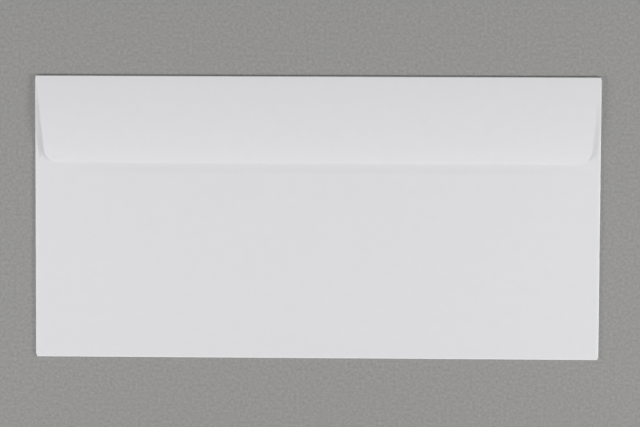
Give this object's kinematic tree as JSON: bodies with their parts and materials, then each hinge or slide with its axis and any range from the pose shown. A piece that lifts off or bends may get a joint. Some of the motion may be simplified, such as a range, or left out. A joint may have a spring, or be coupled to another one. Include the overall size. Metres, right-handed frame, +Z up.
{
  "type": "paper envelope",
  "caption": "Long plain paper envelope lying flap side up: a folded sheet whose tapered closing flap covers the mouth of a flat pocket that is glued along its ends.",
  "frame": {"origin": "middle of the underside of the address panel, the face that the envelope lies on", "axes": "+X along the length, +Y towards the crease of the closing flap, +Z up through the layers to the closing flap"},
  "size_m": [0.22, 0.11, 0.0015],
  "materials": {
    "paper": "matt, uncoated, smooth"
  },
  "bodies": {
    "root": {"envelope_sheet": "paper"}
  },
  "joints": []
}
